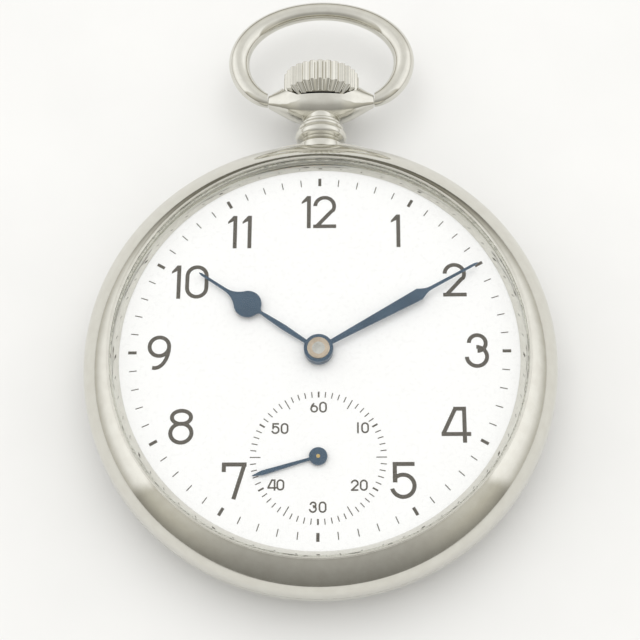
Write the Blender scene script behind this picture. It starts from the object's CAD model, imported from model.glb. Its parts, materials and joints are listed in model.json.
import json
import math
import bmesh
import bpy
from mathutils import Matrix, Vector

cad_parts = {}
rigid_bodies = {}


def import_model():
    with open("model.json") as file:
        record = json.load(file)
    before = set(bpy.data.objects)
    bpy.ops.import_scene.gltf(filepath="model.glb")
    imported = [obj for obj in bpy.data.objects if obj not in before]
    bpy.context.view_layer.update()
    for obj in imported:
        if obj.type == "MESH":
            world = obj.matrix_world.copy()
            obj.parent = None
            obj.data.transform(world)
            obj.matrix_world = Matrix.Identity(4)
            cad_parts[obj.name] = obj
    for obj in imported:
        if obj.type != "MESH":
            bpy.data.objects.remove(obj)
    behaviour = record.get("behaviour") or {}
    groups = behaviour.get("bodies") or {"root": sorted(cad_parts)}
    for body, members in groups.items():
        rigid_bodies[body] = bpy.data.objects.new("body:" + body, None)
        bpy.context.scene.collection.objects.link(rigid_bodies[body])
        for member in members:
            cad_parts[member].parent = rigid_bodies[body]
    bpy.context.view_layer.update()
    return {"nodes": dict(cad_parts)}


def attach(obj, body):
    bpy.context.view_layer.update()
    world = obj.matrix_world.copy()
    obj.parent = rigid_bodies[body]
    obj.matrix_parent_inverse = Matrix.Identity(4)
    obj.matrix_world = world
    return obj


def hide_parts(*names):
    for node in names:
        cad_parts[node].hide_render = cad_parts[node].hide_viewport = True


for startup in list(bpy.data.objects):
    bpy.data.objects.remove(startup)
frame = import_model()

# Open face pocket watch, dial up on a pale table. Shapes are worked out in millimetres in the
# row frame and scaled to metres when they become pieces.

MM = 0.001
TURNS = 288                                     # divisions round the case
SMALL_TURNS = 192                               # divisions round the pendant's parts
CASE_R = 25.57
JOIN_Z = 6.35                                   # where the bezel meets the band
STEM_Z, STEM_BORE_R = 6.3, 1.0
CRYSTAL_R, CRYSTAL_IN_R = 22.1, 21.75
CRYSTAL_SEAT_Z, CRYSTAL_EDGE_Z = 10.79, 11.08
CRYSTAL_IN_TOP_Z, CRYSTAL_TOP_Z = 11.78, 12.5
BACK_FLAT_R, BACK_OUT_R, BACK_IN_R, BACK_THICK = 12.0, 25.56, 24.76, 0.8
HINGE_X, HINGE_Z, HINGE_R, HINGE_PIN_R = -24.75, 4.95, 0.48, 0.22
HINGE_INNER, HINGE_OUTER = 1.6, 3.5             # the cover's knuckles, from the middle
EAR_X, EAR_R = 6.08, 0.74
BOW_Y, BOW_PIN_R = 31.75, 0.35
BOW_HALF_WIDTH, BOW_MID_Y, BOW_TOP_Y = 9.63, 36.95, 43.9      # of the wire's centreline
BOW_TOP_R, BOW_SIDE_R, BOW_END_R = 1.05, 1.2, 0.73            # the wire tapers
CROWN_R, CROWN_LOW_R, CROWN_TOP_R = 4.35, 3.4, 4.19
CROWN_LOW, CROWN_EDGE, CROWN_TOP, CROWN_DOME = 31.5, 32.5, 34.9, 35.2
CROWN_BORE_R, CROWN_BORE_TOP = 1.15, 33.0
FLUTES, FLUTE_DEPTH = 28, 0.32

UPRIGHT = Matrix.Identity(4)
ALONG_Y = Matrix(((1, 0, 0, 0), (0, 0, 1, 0), (0, -1, 0, STEM_Z), (0, 0, 0, 1)))
ALONG_X = Matrix(((0, 0, 1, 0), (1, 0, 0, BOW_Y), (0, 1, 0, STEM_Z), (0, 0, 0, 1)))
HINGE = Matrix(((1, 0, 0, HINGE_X), (0, 0, 1, 0), (0, -1, 0, HINGE_Z), (0, 0, 0, 1)))


# ================================================================ shapes
def arc_through(a, m, b, step_deg=2.0):
    """Points after a, up to b, of the arc from a through m to b."""
    ax, ay, bx, by, cx, cy = *a, *m, *b
    d = 2 * (ax * (by - cy) + bx * (cy - ay) + cx * (ay - by))
    a2, b2, c2 = ax * ax + ay * ay, bx * bx + by * by, cx * cx + cy * cy
    ox = (a2 * (by - cy) + b2 * (cy - ay) + c2 * (ay - by)) / d
    oy = (a2 * (cx - bx) + b2 * (ax - cx) + c2 * (bx - ax)) / d
    start, end = math.atan2(ay - oy, ax - ox), math.atan2(cy - oy, cx - ox)
    turn = (end - start) % math.tau
    if (math.atan2(by - oy, bx - ox) - start) % math.tau > turn:
        turn -= math.tau
    r = math.hypot(ax - ox, ay - oy)
    n = max(6, int(abs(math.degrees(turn)) / step_deg))
    return [(ox + r * math.cos(start + turn * k / n), oy + r * math.sin(start + turn * k / n))
            for k in range(1, n + 1)]


def profile(start, steps):
    """Outline from a start point: plain points, and (middle, end) pairs for arcs."""
    points = [start]
    for step in steps:
        if isinstance(step[0], tuple):
            points += arc_through(points[-1], step[0], step[1])
        else:
            points.append(step)
    return points


def cap_middle(edge_r, edge_z, top_z):
    """Middle point of the arc from the rim of a spherical cap to its top."""
    rise = top_z - edge_z
    radius = (edge_r**2 + rise**2) / (2 * rise)
    half = math.asin(edge_r / radius) / 2
    return (radius * math.sin(half), top_z - radius * (1 - math.cos(half)))


def eased_corners(points, radius, least_deg=25, cuts=4):
    """The closed outline with its sharp corners away from the axis rounded."""
    out = []
    count = len(points)
    for i, p in enumerate(points):
        before, here, after = Vector(points[i - 1]), Vector(p), Vector(points[(i + 1) % count])
        into, away = here - before, after - here
        if into.length < 1e-6 or away.length < 1e-6:
            continue
        bend = into.angle(away)
        if math.degrees(bend) < least_deg or here.x < 1e-6:
            out.append(tuple(here))
            continue
        reach = min(radius * math.tan(bend / 2), 0.45 * into.length, 0.45 * away.length)
        a, b = here - into.normalized() * reach, here + away.normalized() * reach
        for k in range(cuts + 1):
            t = k / cuts
            out.append(tuple(a * (1 - t)**2 + here * 2 * t * (1 - t) + b * t**2))
    return out


def through(knots, x):
    """Height at x of a smooth curve through (x, height) knots, level at the first."""
    slopes = [0.0]
    for (x0, y0), (_, _), (x2, y2) in zip(knots, knots[1:], knots[2:]):
        slopes.append((y2 - y0) / (x2 - x0))
    slopes.append((knots[-1][1] - knots[-2][1]) / (knots[-1][0] - knots[-2][0]))
    spans = zip(zip(knots, slopes), zip(knots[1:], slopes[1:]))
    for ((x0, y0), m0), ((x1, y1), m1) in spans:
        if x <= x1 or (x1, y1) == knots[-1]:
            w = x1 - x0
            t = min(1.0, (x - x0) / w)
            return ((1 + 2 * t) * (1 - t)**2 * y0 + t * (1 - t)**2 * w * m0
                    + t * t * (3 - 2 * t) * y1 - t * t * (1 - t) * w * m1)


def new_object(name, bm):
    bmesh.ops.recalc_face_normals(bm, faces=bm.faces)
    mesh = bpy.data.meshes.new(name)
    bm.to_mesh(mesh)
    bm.free()
    obj = bpy.data.objects.new(name, mesh)
    bpy.context.scene.collection.objects.link(obj)
    return obj


def skin(bm, rings, loop):
    """Faces between neighbouring rings of vertices; a ring of one vertex is a pole."""
    pairs = zip(rings, rings[1:] + rings[:1]) if loop else zip(rings, rings[1:])
    for a, b in pairs:
        if len(a) == 1 and len(b) == 1:
            continue
        n = max(len(a), len(b))
        for k in range(n):
            j = (k + 1) % n
            if len(a) == 1:
                bm.faces.new((a[0], b[j], b[k]))
            elif len(b) == 1:
                bm.faces.new((a[k], a[j], b[0]))
            else:
                bm.faces.new((a[k], a[j], b[j], b[k]))


def turned(name, points, place=UPRIGHT, turns=TURNS, radius_at=None):
    """Solid of revolution of a closed (radius, height) outline."""
    bm = bmesh.new()
    rings = []
    for r, h in points:
        if r < 1e-6:
            rings.append([bm.verts.new(place @ Vector((0, 0, h)))])
            continue
        ring = []
        for k in range(turns):
            a = math.tau * k / turns
            rr = radius_at(r, h, a) if radius_at else r
            ring.append(bm.verts.new(place @ Vector((rr * math.cos(a), rr * math.sin(a), h))))
        rings.append(ring)
    skin(bm, rings, loop=True)
    return new_object(name, bm)


def rod(name, place, h0, h1, r, turns=96, ease=0.0):
    points = [(0, h0), (r, h0), (r, h1), (0, h1)]
    return turned(name, eased_corners(points, ease) if ease else points, place, turns)


def block(name, low, high):
    bm = bmesh.new()
    bmesh.ops.create_cube(bm, size=1)
    middle, size = (Vector(low) + Vector(high)) / 2, Vector(high) - Vector(low)
    place = Matrix.Translation(middle) @ Matrix.Diagonal((*size, 1))
    bmesh.ops.transform(bm, matrix=place, verts=bm.verts)
    return new_object(name, bm)


def applied(obj):
    """Replaces the object's mesh with the result of its modifiers."""
    seen = obj.evaluated_get(bpy.context.evaluated_depsgraph_get())
    mesh = bpy.data.meshes.new_from_object(seen)
    obj.modifiers.clear()
    obj.data = mesh


def combine(obj, operation, *others):
    """Joins the other objects to this one or cuts them from it, and removes them."""
    for other in others:
        m = obj.modifiers.new("combine", "BOOLEAN")
        m.operation, m.object, m.solver = operation, other, "EXACT"
        applied(obj)
        bpy.data.objects.remove(other)


def bevelled(obj, width, least_deg=35, segments=2):
    m = obj.modifiers.new("edges", "BEVEL")
    m.width, m.segments = width, segments
    m.limit_method, m.angle_limit = "ANGLE", math.radians(least_deg)
    applied(obj)
    return obj


def piece(obj, body, material, node, sharp_deg=35):
    """Makes the finished shape a piece: metres, smooth shading, body, finish and what it stands for."""
    mesh = obj.data
    mesh.transform(Matrix.Scale(MM, 4))
    mesh.materials.clear()
    mesh.materials.append(material)
    mesh.shade_smooth()
    mesh.set_sharp_from_angle(angle=math.radians(sharp_deg))
    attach(obj, body)
    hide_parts(node)


# ================================================================ materials
class Finish:
    """A Principled material and short ways to wire its texture nodes."""

    def __init__(self, name, **values):
        self.material = bpy.data.materials.new(name)
        self.material.use_nodes = True
        self.tree = self.material.node_tree
        self.shader = self.tree.nodes["Principled BSDF"]
        for key, value in values.items():
            socket = key.replace("_", " ").title().replace("Ior", "IOR")
            self.shader.inputs[socket].default_value = value
        self.place = self.node("ShaderNodeTexCoord").outputs["Object"]

    def node(self, kind, **settings):
        n = self.tree.nodes.new(kind)
        for key, value in settings.items():
            setattr(n, key, value)
        return n

    def link(self, a, b):
        self.tree.links.new(a, b)

    def noise(self, scale, detail=3, stretch=(1, 1, 1), source=None):
        """Noise with about `scale` features a metre."""
        mapping = self.node("ShaderNodeMapping")
        mapping.inputs["Scale"].default_value = [scale * s for s in stretch]
        self.link(source or self.place, mapping.inputs["Vector"])
        n = self.node("ShaderNodeTexNoise")
        n.inputs["Scale"].default_value = 1.0
        n.inputs["Detail"].default_value = detail
        self.link(mapping.outputs["Vector"], n.inputs["Vector"])
        return n.outputs["Fac"]

    def math(self, operation, a, b=0.0):
        n = self.node("ShaderNodeMath", operation=operation)
        for socket, value in zip(n.inputs, (a, b)):
            if isinstance(value, (int, float)):
                socket.default_value = value
            else:
                self.link(value, socket)
        return n.outputs[0]

    def spread(self, value, low, high, out_low, out_high):
        """The value with low to high mapped on out_low to out_high."""
        n = self.node("ShaderNodeMapRange")
        ends = {"From Min": low, "From Max": high, "To Min": out_low, "To Max": out_high}
        for key, number in ends.items():
            n.inputs[key].default_value = number
        self.link(value, n.inputs["Value"])
        return n.outputs["Result"]

    def blend(self, value, a, b, low=0.35, high=0.65):
        """Colour a where the value is low, b where it is high."""
        n = self.node("ShaderNodeValToRGB")
        first, last = n.color_ramp.elements
        first.position, first.color = low, (*a, 1)
        last.position, last.color = high, (*b, 1)
        self.link(value, n.inputs["Fac"])
        return n.outputs["Color"]

    def polar(self, centre, axis="z"):
        """(radius, angle in thousandths, height) round an axis through a centre, lengths in metres."""
        moved = self.node("ShaderNodeVectorMath", operation="SUBTRACT")
        moved.inputs[1].default_value = [c * MM for c in centre]
        self.link(self.place, moved.inputs[0])
        split = self.node("ShaderNodeSeparateXYZ")
        self.link(moved.outputs["Vector"], split.inputs["Vector"])
        u, v, w = (split.outputs[letter] for letter in {"z": "XYZ", "y": "XZY"}[axis])
        squares = self.math("ADD", self.math("MULTIPLY", u, u), self.math("MULTIPLY", v, v))
        joined = self.node("ShaderNodeCombineXYZ")
        self.link(self.math("SQRT", squares), joined.inputs["X"])
        self.link(self.math("MULTIPLY", self.math("ARCTAN2", v, u), MM), joined.inputs["Y"])
        self.link(w, joined.inputs["Z"])
        return joined.outputs["Vector"]

    def bump(self, height, strength, distance=0.00001):
        n = self.node("ShaderNodeBump")
        n.inputs["Strength"].default_value = strength
        n.inputs["Distance"].default_value = distance
        self.link(height, n.inputs["Height"])
        self.link(n.outputs["Normal"], self.shader.inputs["Normal"])

    def colour(self, output):
        self.link(output, self.shader.inputs["Base Color"])

    def roughness(self, value, low, high, out_low, out_high):
        self.link(self.spread(value, low, high, out_low, out_high), self.shader.inputs["Roughness"])


def polished_case(name, centre, axis):
    """Warm polished nickel: turning lines too fine to see singly, hairlines and faint handling marks."""
    f = Finish(name, metallic=1.0)
    lines = f.noise(90000, 2, (1, 0.4, 1), f.polar(centre, axis))
    marks = f.noise(900, 4)
    hair = f.noise(6000, 2, (1, 0.03, 0.2))
    f.colour(f.blend(marks, (0.665, 0.65, 0.595), (0.70, 0.69, 0.635)))
    wear = f.math("ADD", f.math("MULTIPLY", marks, 0.6), f.math("MULTIPLY", hair, 0.4))
    f.roughness(wear, 0.3, 0.7, 0.045, 0.085)
    f.bump(f.math("ADD", lines, hair), 0.02)
    return f.material


def glass():
    """Clear glass that mirrors a little when seen square on and more at a low angle."""
    f = Finish("crystal_glass_clear", metallic=1.0, base_color=(1, 1, 1, 1))
    f.roughness(f.noise(500, 3), 0.4, 0.75, 0.01, 0.05)
    clear = f.node("ShaderNodeBsdfTransparent")
    clear.inputs["Color"].default_value = (0.985, 0.99, 0.985, 1)
    mix = f.node("ShaderNodeMixShader")
    weight = f.node("ShaderNodeLayerWeight")
    weight.inputs["Blend"].default_value = 0.5
    grazing = f.math("POWER", weight.outputs["Facing"], 5.0)
    f.link(f.spread(grazing, 0, 1, 0.02, 0.6), mix.inputs["Fac"])
    f.link(clear.outputs["BSDF"], mix.inputs[1])
    f.link(f.shader.outputs["BSDF"], mix.inputs[2])
    f.link(mix.outputs["Shader"], f.tree.nodes["Material Output"].inputs["Surface"])
    return f.material


def enamel():
    f = Finish("dial_enamel_white", coat_weight=0.3, coat_roughness=0.1)
    f.colour(f.blend(f.noise(300, 2), (0.908, 0.895, 0.915), (0.918, 0.905, 0.925)))
    f.roughness(f.noise(2200, 3), 0.3, 0.7, 0.24, 0.36)
    f.bump(f.noise(1500, 2), 0.02)
    return f.material


def printing():
    f = Finish("dial_ink_grey", specular_ior_level=0.3)
    f.colour(f.blend(f.noise(9000, 4), (0.080, 0.070, 0.058), (0.105, 0.094, 0.080)))
    f.roughness(f.noise(5000, 3), 0.3, 0.7, 0.45, 0.6)
    f.bump(f.noise(20000, 2), 0.2, 0.000004)
    return f.material


def blued():
    f = Finish("blued_steel_hands", metallic=1.0)
    f.colour(f.blend(f.noise(300, 2), (0.072, 0.115, 0.172), (0.092, 0.142, 0.208)))
    grain = f.noise(9000, 2, (1, 0.12, 1))
    f.roughness(grain, 0.3, 0.7, 0.14, 0.22)
    f.bump(grain, 0.02)
    return f.material


def steel(name, dark, light, smooth, rough, centre=(0, 0, 0), scale=60000):
    """Steel with a circular grain round a centre."""
    f = Finish(name, metallic=1.0)
    grain = f.noise(scale, 2, (1, 0.5, 1), f.polar(centre))
    f.colour(f.blend(f.noise(1100, 3), dark, light))
    f.roughness(grain, 0.3, 0.7, smooth, rough)
    f.bump(grain, 0.10)
    return f.material


def striped_nickel():
    """Plate nickel with broad parallel polishing stripes."""
    f = Finish("nickel_plate_striped", metallic=1.0)
    turned_place = f.node("ShaderNodeMapping")
    turned_place.inputs["Rotation"].default_value = (0, 0, math.radians(38))
    f.link(f.place, turned_place.inputs["Vector"])
    wave = f.node("ShaderNodeTexWave", wave_type="BANDS", bands_direction="X", wave_profile="SAW")
    wave.inputs["Scale"].default_value = 150
    f.link(turned_place.outputs["Vector"], wave.inputs["Vector"])
    grain = f.noise(30000, 2, (0.12, 1, 1), turned_place.outputs["Vector"])
    both = f.math("ADD", f.math("MULTIPLY", wave.outputs["Fac"], 0.7), f.math("MULTIPLY", grain, 0.3))
    f.colour(f.blend(both, (0.60, 0.59, 0.55), (0.76, 0.75, 0.71), 0.15, 0.85))
    f.roughness(both, 0.1, 0.9, 0.16, 0.36)
    f.bump(both, 0.35)
    return f.material


def gilt():
    f = Finish("gilt_brass_grained", metallic=1.0)
    grain = f.noise(40000, 2, (1, 0.15, 1))
    f.colour(f.blend(f.noise(900, 4), (0.66, 0.46, 0.19), (0.80, 0.59, 0.27)))
    f.roughness(grain, 0.3, 0.7, 0.18, 0.34)
    f.bump(grain, 0.12)
    return f.material


def ruby():
    f = Finish("ruby_jewel", coat_weight=1.0, coat_roughness=0.02, ior=1.76)
    f.colour(f.blend(f.noise(3000, 3), (0.36, 0.004, 0.035), (0.62, 0.02, 0.08)))
    f.roughness(f.noise(5000, 2), 0.3, 0.7, 0.05, 0.12)
    return f.material


case_upright = polished_case("case_metal_turned", (0, 0, 0), "z")
case_along_y = polished_case("pendant_metal_turned", (0, 0, STEM_Z), "y")
case_bow = polished_case("bow_metal_drawn", (0, 36.9, STEM_Z), "z")
clear_glass = glass()
FINISHES = {
    "steel_polished": case_upright,
    "crystal_glass": clear_glass,
    "dial_enamel": enamel(),
    "dial_ink": printing(),
    "blued_steel": blued(),
    "cap_steel": steel("cap_steel_polished", (0.57, 0.47, 0.375), (0.64, 0.535, 0.435), 0.12, 0.2,
                       scale=40000),
    "nickel_plate": striped_nickel(),
    "gilt_brass": gilt(),
    "ruby": ruby(),
    "spring_steel": steel("spring_steel_grained", (0.22, 0.24, 0.30), (0.34, 0.36, 0.42), 0.18, 0.3),
    "polished_steel_parts": steel("winding_steel_grained", (0.56, 0.55, 0.53), (0.68, 0.67, 0.65),
                                  0.12, 0.26, centre=(8.0, 4.1, 0)),
}

for node in frame["nodes"].values():
    slot_name = node.data.materials[0].name.split(".")[0]
    node.data.materials[0] = FINISHES[slot_name]


# ================================================================ bezel, crystal and back
def make_bezel():
    """Domed ring with a thin bead round the crystal and a sloping inner wall down to the dial."""
    bezel = turned("bezel_polished", eased_corners(profile((CASE_R - 0.01, JOIN_Z), [
        ((25.501, 7.104), (25.38, 7.85)), ((25.147, 8.53), (24.75, 9.13)),
        ((23.655, 10.216), (22.35, 11.09)), ((22.24, 11.2), (CRYSTAL_R, CRYSTAL_EDGE_Z)),
        (CRYSTAL_R, CRYSTAL_SEAT_Z), (21.92, CRYSTAL_SEAT_Z), ((21.549, 10.225), (21.25, 9.62)),
        (21.42, 9.62), (21.42, 8.6), (23.45, 8.6), (23.45, JOIN_Z)]), 0.03))
    combine(bezel, "DIFFERENCE", rod("notch", ALONG_Y, 19, 27, STEM_BORE_R + 0.03))
    piece(bezel, "case", case_upright, "bezel")


def make_crystal():
    crystal = turned("crystal_domed", eased_corners(profile((0, CRYSTAL_IN_TOP_Z), [
        (cap_middle(CRYSTAL_IN_R, CRYSTAL_SEAT_Z, CRYSTAL_IN_TOP_Z), (CRYSTAL_IN_R, CRYSTAL_SEAT_Z)),
        (CRYSTAL_R, CRYSTAL_SEAT_Z), (CRYSTAL_R, CRYSTAL_EDGE_Z),
        (cap_middle(CRYSTAL_R, CRYSTAL_EDGE_Z, CRYSTAL_TOP_Z), (0, CRYSTAL_TOP_Z))]), 0.06))
    piece(crystal, "case", clear_glass, "crystal")


def make_back():
    """Domed cover with a flat to lie on, two hinge knuckles with leaves, and a lip to open it by."""
    rim_deg = 28.5

    def dome(radius, deg):
        return (BACK_FLAT_R + radius * math.sin(math.radians(deg)),
                BACK_OUT_R - radius * math.cos(math.radians(deg)))

    back = turned("back_cover_domed", eased_corners(profile((0, 0), [
        (BACK_FLAT_R, 0), (dome(BACK_OUT_R, rim_deg / 2), dome(BACK_OUT_R, rim_deg)),
        ((25.09, 3.96), (25.42, 5.15)), (24.2, 5.15), (24.2, 4.5), dome(BACK_IN_R, rim_deg),
        (dome(BACK_IN_R, rim_deg / 2), (BACK_FLAT_R, BACK_THICK)), (0, BACK_THICK)]), 0.05))
    combine(back, "DIFFERENCE", block("gap", (-27, -5.5, 3.0), (HINGE_X + 0.2, 5.5, 6.0)),
            rod("gap", HINGE, -HINGE_INNER, HINGE_INNER, HINGE_R + 0.08))
    for y0, y1 in ((-HINGE_OUTER, -HINGE_INNER), (HINGE_INNER, HINGE_OUTER)):
        combine(back, "UNION", rod("knuckle", HINGE, y0, y1, HINGE_R, ease=0.06),
                block("leaf", (HINGE_X + 0.1, y0, 4.45), (HINGE_X + 0.52, y1, 5.0)))
    lip = block("lip", (24.6, -2.4, 4.55), (25.66, 2.4, HINGE_Z))
    combine(back, "UNION", bevelled(lip, 0.12))
    combine(back, "DIFFERENCE", rod("pin", HINGE, -HINGE_OUTER - 1, HINGE_OUTER + 1, HINGE_PIN_R + 0.03))
    piece(back, "back", case_upright, "back_cover")


# ================================================================ pendant
def head_shape():
    """Spindle that holds the bow's ends, with a cone cut into it for the crown."""
    half_outline = [(0, 2.8), (2.2, 2.6), (3.4, 2.2), (4.4, 1.68), (5.2, 1.22), (EAR_X, EAR_R)]
    steps = 60
    spindle = [(0, -EAR_X)]
    for i in range(-steps, steps + 1):
        x = EAR_X * i / steps
        spindle.append((through(half_outline, abs(x)), x))
    spindle.append((0, EAR_X))
    head = turned("head", eased_corners(spindle, 0.1), ALONG_X, SMALL_TURNS)
    seat_y, seat_gap = CROWN_LOW - 0.12, 0.2
    combine(head, "DIFFERENCE", turned("seat", [
        (0, seat_y), (CROWN_LOW_R + seat_gap, seat_y), (CROWN_R + seat_gap, CROWN_EDGE - 0.1),
        (CROWN_R + seat_gap, 40), (0, 40)], ALONG_Y, SMALL_TURNS))
    return head


def saddle_shape():
    """Low leaf-shaped swelling of the band that the neck grows out of."""
    bm = bmesh.new()
    rings, rise_steps, around = [], 20, 128
    half_width, half_height, rise = 7.5, 1.9, 0.63
    for i in range(rise_steps + 1):
        s = math.sin(math.pi / 2 * i / rise_steps)
        ring = []
        for k in range(around if i else 1):
            a = math.tau * k / around
            x, z = half_width * s * math.cos(a), half_height * s * math.sin(a)
            y = math.sqrt(CASE_R**2 - x * x) + rise * (1 - s * s)
            ring.append(bm.verts.new((x, y, STEM_Z + z)))
        rings.append(ring)
    base = [bm.verts.new(v.co - Vector((0, 0.5, 0))) for v in rings[-1]]
    rings.append(base)
    skin(bm, rings, loop=False)
    bm.faces.new(base)
    return new_object("saddle", bm)


def make_pendant():
    """Neck with three rings between the band's saddle and the head, bored for the stem and the bow."""
    pendant = turned("pendant_polished", eased_corners(profile((0, 24.9), [
        (2.75, 24.9), (2.7, 25.7), ((2.3, 26.05), (2.15, 26.5)), (2.7, 26.65),
        ((2.94, 27.15), (2.7, 27.65)), (2.35, 27.75), ((2.62, 28.05), (2.35, 28.35)), (2.0, 28.42),
        ((2.25, 28.67), (2.0, 28.92)), (1.85, 29.0), (1.85, 31.3), (0, 31.3)]), 0.05),
        ALONG_Y, SMALL_TURNS)
    combine(pendant, "UNION", head_shape(), saddle_shape())
    pivot_r = BOW_PIN_R + 0.05
    combine(pendant, "DIFFERENCE", rod("bore", ALONG_Y, 23, 33, STEM_BORE_R),
            rod("pivot", ALONG_X, -7, -4.5, pivot_r), rod("pivot", ALONG_X, 4.5, 7, pivot_r))
    piece(pendant, "case", case_along_y, "pendant", sharp_deg=32)


# ================================================================ bow
def bow_stations():
    """(x, y, wire radius) along the bow from one end to the other."""
    ends = [(5.6, 31.84), (7.2, 31.9), (BOW_HALF_WIDTH, 34.05), (BOW_HALF_WIDTH, BOW_MID_Y)]
    side, side_steps, crest_steps = [], 40, 120
    for k in range(side_steps):
        t = k / side_steps
        weights = ((1 - t)**3, 3 * t * (1 - t)**2, 3 * t * t * (1 - t), t**3)
        x, y = (sum(w * p[axis] for w, p in zip(weights, ends)) for axis in (0, 1))
        side.append((x, y, BOW_SIDE_R - (BOW_SIDE_R - BOW_END_R) * (1 - t)**1.5))
    crest = []
    for k in range(crest_steps + 1):
        a = math.pi * k / crest_steps
        crest.append((BOW_HALF_WIDTH * math.cos(a), BOW_MID_Y + (BOW_TOP_Y - BOW_MID_Y) * math.sin(a),
                      BOW_SIDE_R - (BOW_SIDE_R - BOW_TOP_R) * math.sin(a)**2))
    return side + crest + [(-x, y, r) for x, y, r in reversed(side)]


def make_bow():
    """Tapering round wire, cut off square at the head's ears, with a pin at each end."""
    stations = bow_stations()
    points = [Vector((x, y, STEM_Z)) for x, y, _ in stations]
    around = 64
    bm = bmesh.new()
    rings = []
    for i, (p, (_, _, r)) in enumerate(zip(points, stations)):
        along = (points[min(i + 1, len(points) - 1)] - points[max(i - 1, 0)]).normalized()
        out = along.cross(Vector((0, 0, 1)))
        ring = []
        for k in range(around):
            a = math.tau * k / around
            ring.append(bm.verts.new(p + out * (r * math.cos(a)) + Vector((0, 0, r * math.sin(a)))))
        rings.append(ring)
    skin(bm, rings, loop=False)
    bm.faces.new(rings[0])
    bm.faces.new(rings[-1])
    bow = new_object("bow_polished", bm)
    cut_x = EAR_X + 0.08
    combine(bow, "DIFFERENCE", block("ends", (-cut_x, 29, 3), (cut_x, 34.5, 9)))
    combine(bow, "UNION", rod("pin", ALONG_X, 4.9, 6.9, BOW_PIN_R, 48),
            rod("pin", ALONG_X, -6.9, -4.9, BOW_PIN_R, 48))
    piece(bow, "bow", case_bow, "bow")


# ================================================================ crown
def fluted(r, h, a):
    """Radius with rounded valleys between the ribs, down the side and on down the cone below."""
    valley = FLUTE_DEPTH * (0.5 - 0.5 * math.cos(FLUTES * a))**1.2
    if r < 2.6:
        return r
    if h > CROWN_EDGE:
        return min(r, CROWN_R - valley)
    return r * (1 - valley / CROWN_R)


def make_crown():
    outline = eased_corners(profile((CROWN_BORE_R, CROWN_LOW), [
        (CROWN_LOW_R, CROWN_LOW), (CROWN_R, CROWN_EDGE), (CROWN_R, CROWN_TOP - 0.15),
        ((CROWN_R - 0.05, CROWN_TOP - 0.04), (CROWN_TOP_R, CROWN_TOP)),
        (cap_middle(CROWN_TOP_R, CROWN_TOP, CROWN_DOME), (0, CROWN_DOME)), (0, CROWN_BORE_TOP),
        (CROWN_BORE_R, CROWN_BORE_TOP)]), 0.09, cuts=6)
    crown = turned("crown_fluted", outline, ALONG_Y, FLUTES * 16, fluted)
    piece(crown, "crown", case_along_y, "crown", sharp_deg=40)


# ================================================================ floor
def make_floor():
    bm = bmesh.new()
    for x, y in ((-1, -1), (1, -1), (1, 1), (-1, 1)):
        bm.verts.new((x * 1.5, y * 1.5, 0))
    bm.faces.new(bm.verts)
    floor = new_object("floor", bm)
    paper = Finish("floor_paper", specular_ior_level=0.1)
    paper.colour(paper.blend(paper.noise(60, 3), (0.80, 0.80, 0.795), (0.82, 0.82, 0.815)))
    paper.roughness(paper.noise(900, 3), 0.3, 0.7, 0.7, 0.85)
    floor.data.materials.append(paper.material)


# ================================================================ light
class Tent:
    """World of soft pale walls whose brightness depends on height and on how far round they are."""

    def __init__(self):
        world = bpy.data.worlds.new("tent")
        bpy.context.scene.world = world
        world.use_nodes = True
        self.tree = world.node_tree
        self.background = self.tree.nodes["Background"]
        direction = self.node("ShaderNodeTexCoord").outputs["Generated"]
        axes = self.node("ShaderNodeSeparateXYZ")
        self.link(direction, axes.inputs["Vector"])
        self.height = axes.outputs["Z"]
        flat = self.node("ShaderNodeVectorMath", operation="MULTIPLY")
        flat.inputs[1].default_value = (1, 1, 0)
        self.link(direction, flat.inputs[0])
        unit = self.node("ShaderNodeVectorMath", operation="NORMALIZE")
        self.link(flat.outputs["Vector"], unit.inputs[0])
        frontness = self.node("ShaderNodeVectorMath", operation="DOT_PRODUCT")
        frontness.inputs[1].default_value = (0, -1, 0)
        self.link(unit.outputs["Vector"], frontness.inputs[0])
        self.frontness = frontness.outputs["Value"]

    def node(self, kind, **settings):
        n = self.tree.nodes.new(kind)
        for key, value in settings.items():
            setattr(n, key, value)
        return n

    def link(self, a, b):
        self.tree.links.new(a, b)

    def by_height(self, *stops):
        """Colour of a wall from the table's level (0) to overhead (1)."""
        n = self.node("ShaderNodeValToRGB")
        elements = n.color_ramp.elements
        while len(elements) < len(stops):
            elements.new(0.5)
        for element, (at, colour) in zip(elements, stops):
            element.position, element.color = at, (*colour, 1)
        self.link(self.height, n.inputs["Fac"])
        return n.outputs["Color"]

    def share(self, low, high):
        """1 where a direction faces the front more than `high`, 0 where less than `low`."""
        n = self.node("ShaderNodeMapRange", interpolation_type="SMOOTHSTEP")
        n.inputs["From Min"].default_value, n.inputs["From Max"].default_value = low, high
        self.link(self.frontness, n.inputs["Value"])
        return n.outputs["Result"]

    def over(self, base, upper, amount):
        """The base colour with the upper one laid over it where amount is 1."""
        n = self.node("ShaderNodeMix", data_type="RGBA")
        a, b = [socket for socket in n.inputs if socket.type == "RGBA"]
        self.link(amount, n.inputs["Factor"])
        self.link(base, a)
        self.link(upper, b)
        return [socket for socket in n.outputs if socket.type == "RGBA"][0]


def grey(v, warm=1.0):
    return (v, v * (1 - 0.015 * warm), v * (1 - 0.07 * warm))


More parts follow.
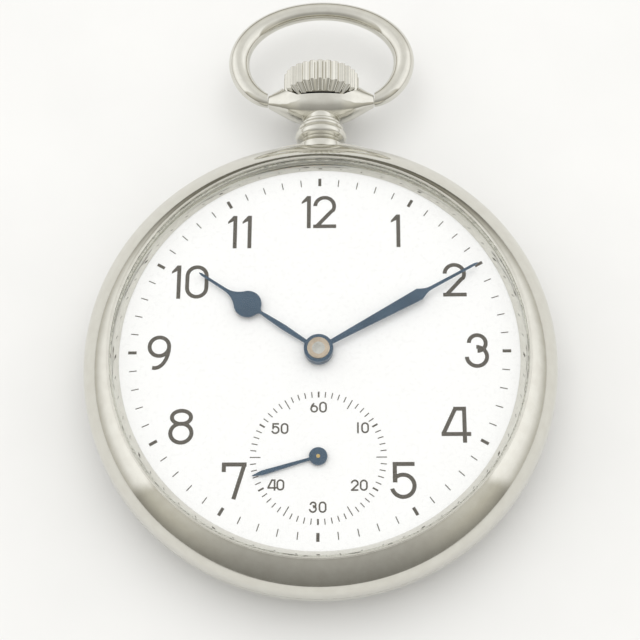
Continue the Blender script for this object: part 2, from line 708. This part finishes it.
def make_tent():
    """Bright side walls, a darker back and an open, dim front with softer edges."""
    tent = Tent()
    overhead = (1.0, grey(0.85, 0.5))
    walls = tent.by_height((0.0, grey(0.62, 1.5)), (0.08, grey(0.76)), (0.25, grey(1.12, 0.3)),
                           (0.5, grey(1.3, 0.2)), (0.85, grey(1.1, 0.2)), overhead)
    back_wall = tent.by_height((0.0, grey(0.13, 3)), (0.06, grey(0.22, 3)), (0.16, grey(0.5, 2)),
                               (0.4, grey(0.85)), (0.8, grey(0.95, 0.5)), overhead)
    front = tent.by_height((0.0, grey(0.24, 1.5)), (0.35, grey(0.36, 1.2)), (0.72, grey(0.52)),
                           (0.92, grey(0.8, 0.5)), overhead)
    front_edge = tent.by_height((0.0, grey(0.33, 2)), (0.35, grey(0.66, 2)), (0.72, grey(0.85)),
                                (0.92, grey(0.95, 0.3)), overhead)
    colour = tent.over(back_wall, walls, tent.share(-0.93, -0.6))
    colour = tent.over(colour, front_edge, tent.share(0.34, 0.42))
    colour = tent.over(colour, front, tent.share(0.5, 0.98))
    tent.link(colour, tent.background.inputs["Color"])


def make_softbox():
    """Square panel overhead, facing down; the metal mirrors the tent behind it instead."""
    light = bpy.data.lights.new("softbox_overhead", "AREA")
    light.shape, light.size, light.energy = "SQUARE", 0.7, 2.3
    panel = bpy.data.objects.new("softbox_overhead", light)
    panel.location = (0.0, 0.12, 0.75)
    panel.rotation_euler = (-panel.location).to_track_quat("-Z", "Y").to_euler()
    panel.visible_glossy = False
    bpy.context.scene.collection.objects.link(panel)


# ================================================================ camera
def make_camera():
    data = bpy.data.cameras.new("camera")
    data.sensor_width, data.lens = 36.0, 80.73
    data.clip_start, data.clip_end = 0.005, 10.0
    camera = bpy.data.objects.new("camera", data)
    at = Vector((4.8236, -49.7285, 153.2618)) * MM
    right = Vector((0.99950611, 0.00487698, -0.03104423))
    up = Vector((0.00622929, 0.93753183, 0.34784374))
    behind = Vector((0.03080138, -0.34786533, 0.93703841))
    turn = Matrix((right, up, behind)).transposed()
    camera.matrix_world = Matrix.Translation(at) @ turn.to_4x4()
    bpy.context.scene.collection.objects.link(camera)
    bpy.context.scene.camera = camera


make_bezel()
make_crystal()
make_back()
make_pendant()
make_bow()
make_crown()
make_floor()
make_tent()
make_softbox()
make_camera()
bpy.context.scene.view_settings.view_transform = "Standard"
